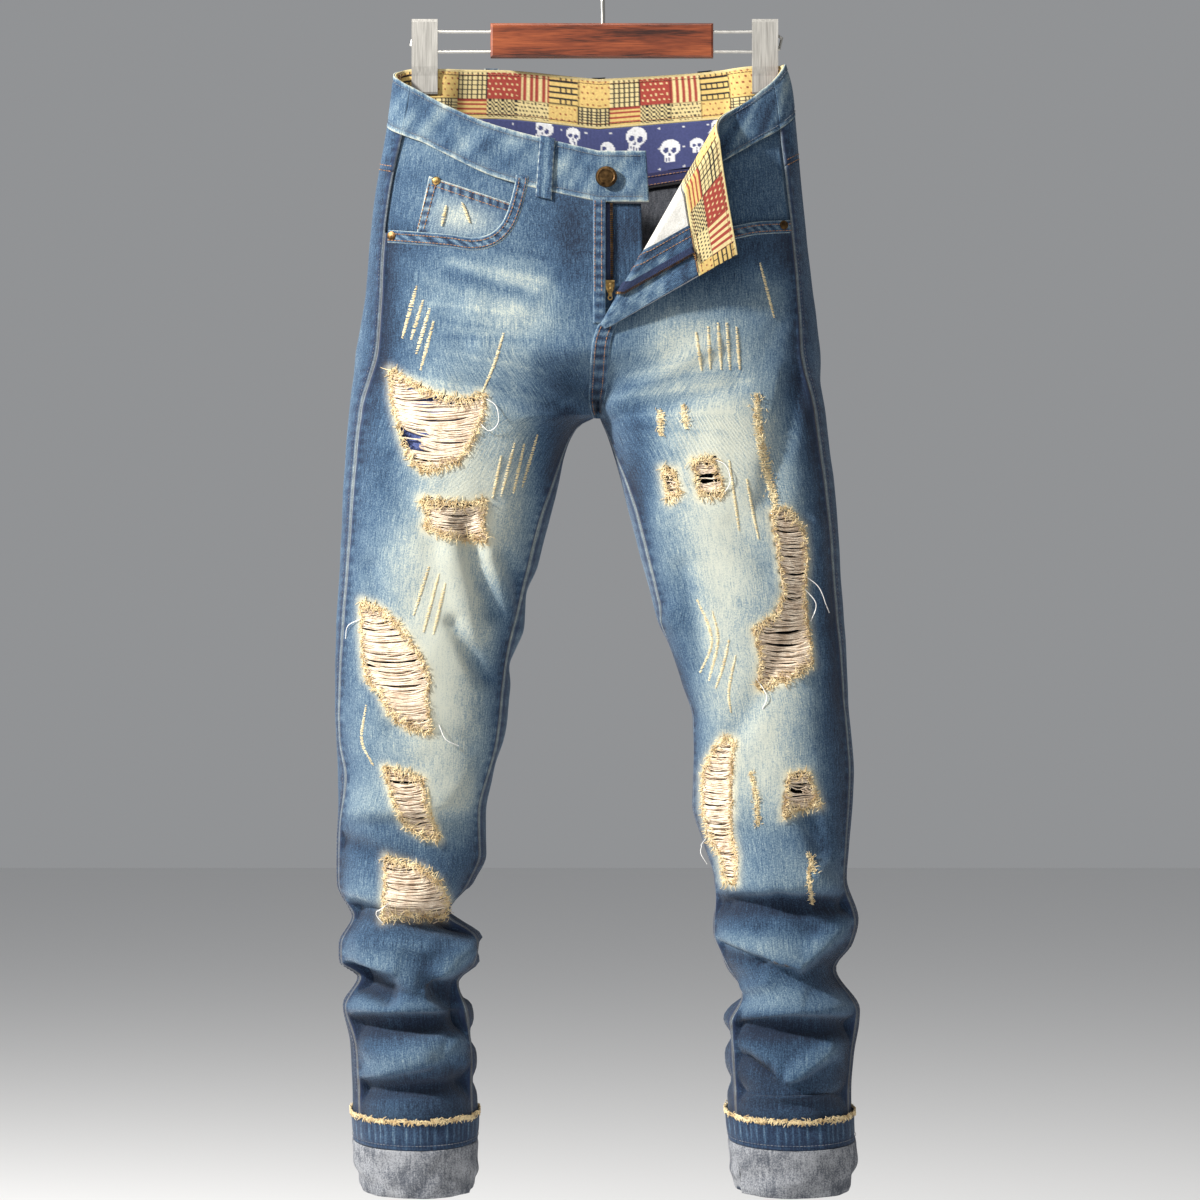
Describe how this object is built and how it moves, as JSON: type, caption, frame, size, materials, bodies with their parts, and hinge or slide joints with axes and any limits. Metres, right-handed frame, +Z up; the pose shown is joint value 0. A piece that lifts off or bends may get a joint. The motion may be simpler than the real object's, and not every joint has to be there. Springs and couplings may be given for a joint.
{
  "type": "ripped jeans on a clip hanger",
  "caption": "Ripped slim jeans with an open fly and turned-up legs, hung by the waistband from a wooden clip hanger.",
  "frame": {"origin": "top of the inside of the hanger's hook, where a rail bears on it", "axes": "+Z up, along the hook's stem; +Y away from the viewer, from the jeans' front to their back; +X to the wearer's left"},
  "size_m": [0.4762, 0.1288, 1.18],
  "materials": {
    "washed_denim": "matte twill, heavily washed",
    "dark_denim": "matte, unwashed indigo",
    "denim_inside": "matte, grey wrong side of the denim",
    "patchwork": "matte printed cotton in small patches",
    "printed_lining": "matte printed cotton",
    "white_cotton": "matte plain cotton",
    "zip_tape": "matte woven tape",
    "brass": "antique, satin",
    "wood": "varnished, reddish brown",
    "steel": "satin"
  },
  "bodies": {
    "root": {"front_right": "washed_denim", "front_left": "washed_denim", "back_right": "washed_denim", "back_left": "washed_denim", "yoke_right": "washed_denim", "yoke_left": "washed_denim", "waistband_front_right": "washed_denim", "waistband_front_left": "washed_denim", "waistband_back": "washed_denim", "coin_pocket": "washed_denim", "pocket_facing_right": "washed_denim", "pocket_facing_left": "washed_denim", "seat_pocket_right": "washed_denim", "seat_pocket_left": "washed_denim", "belt_loop_front_right": "washed_denim", "belt_loop_back_right": "washed_denim", "belt_loop_back_left": "washed_denim", "belt_loop_back_middle": "washed_denim", "fly_facing": "washed_denim", "fly_shield": "dark_denim", "hem_band_right": "dark_denim", "hem_band_left": "dark_denim", "pocket_bag_right": "dark_denim", "turn_up_right": "denim_inside", "turn_up_left": "denim_inside", "facing_back": "patchwork", "facing_front_left": "patchwork", "lining_back": "printed_lining", "lining_hem": "printed_lining", "pocket_bag_left": "white_cotton", "zip_tape_right": "zip_tape", "zip_tape_left": "zip_tape", "button": "brass", "rivet_right_side": "brass", "rivet_left_side": "brass", "zip_slider": "brass", "wood_bar": "wood", "hook": "steel", "rod_loop": "steel", "clip_right_front": "steel", "clip_right_back": "steel", "clip_left_front": "steel", "clip_left_back": "steel"},
    "pull": {"zip_pull": "brass"}
  },
  "joints": [
    {"name": "pull_swing", "type": "hinge", "parent": "root", "child": "pull", "pos_m": [0.0065, -0.07343, -0.342], "axis": [-1, 0, 0], "range_deg": [0, 150]}
  ]
}
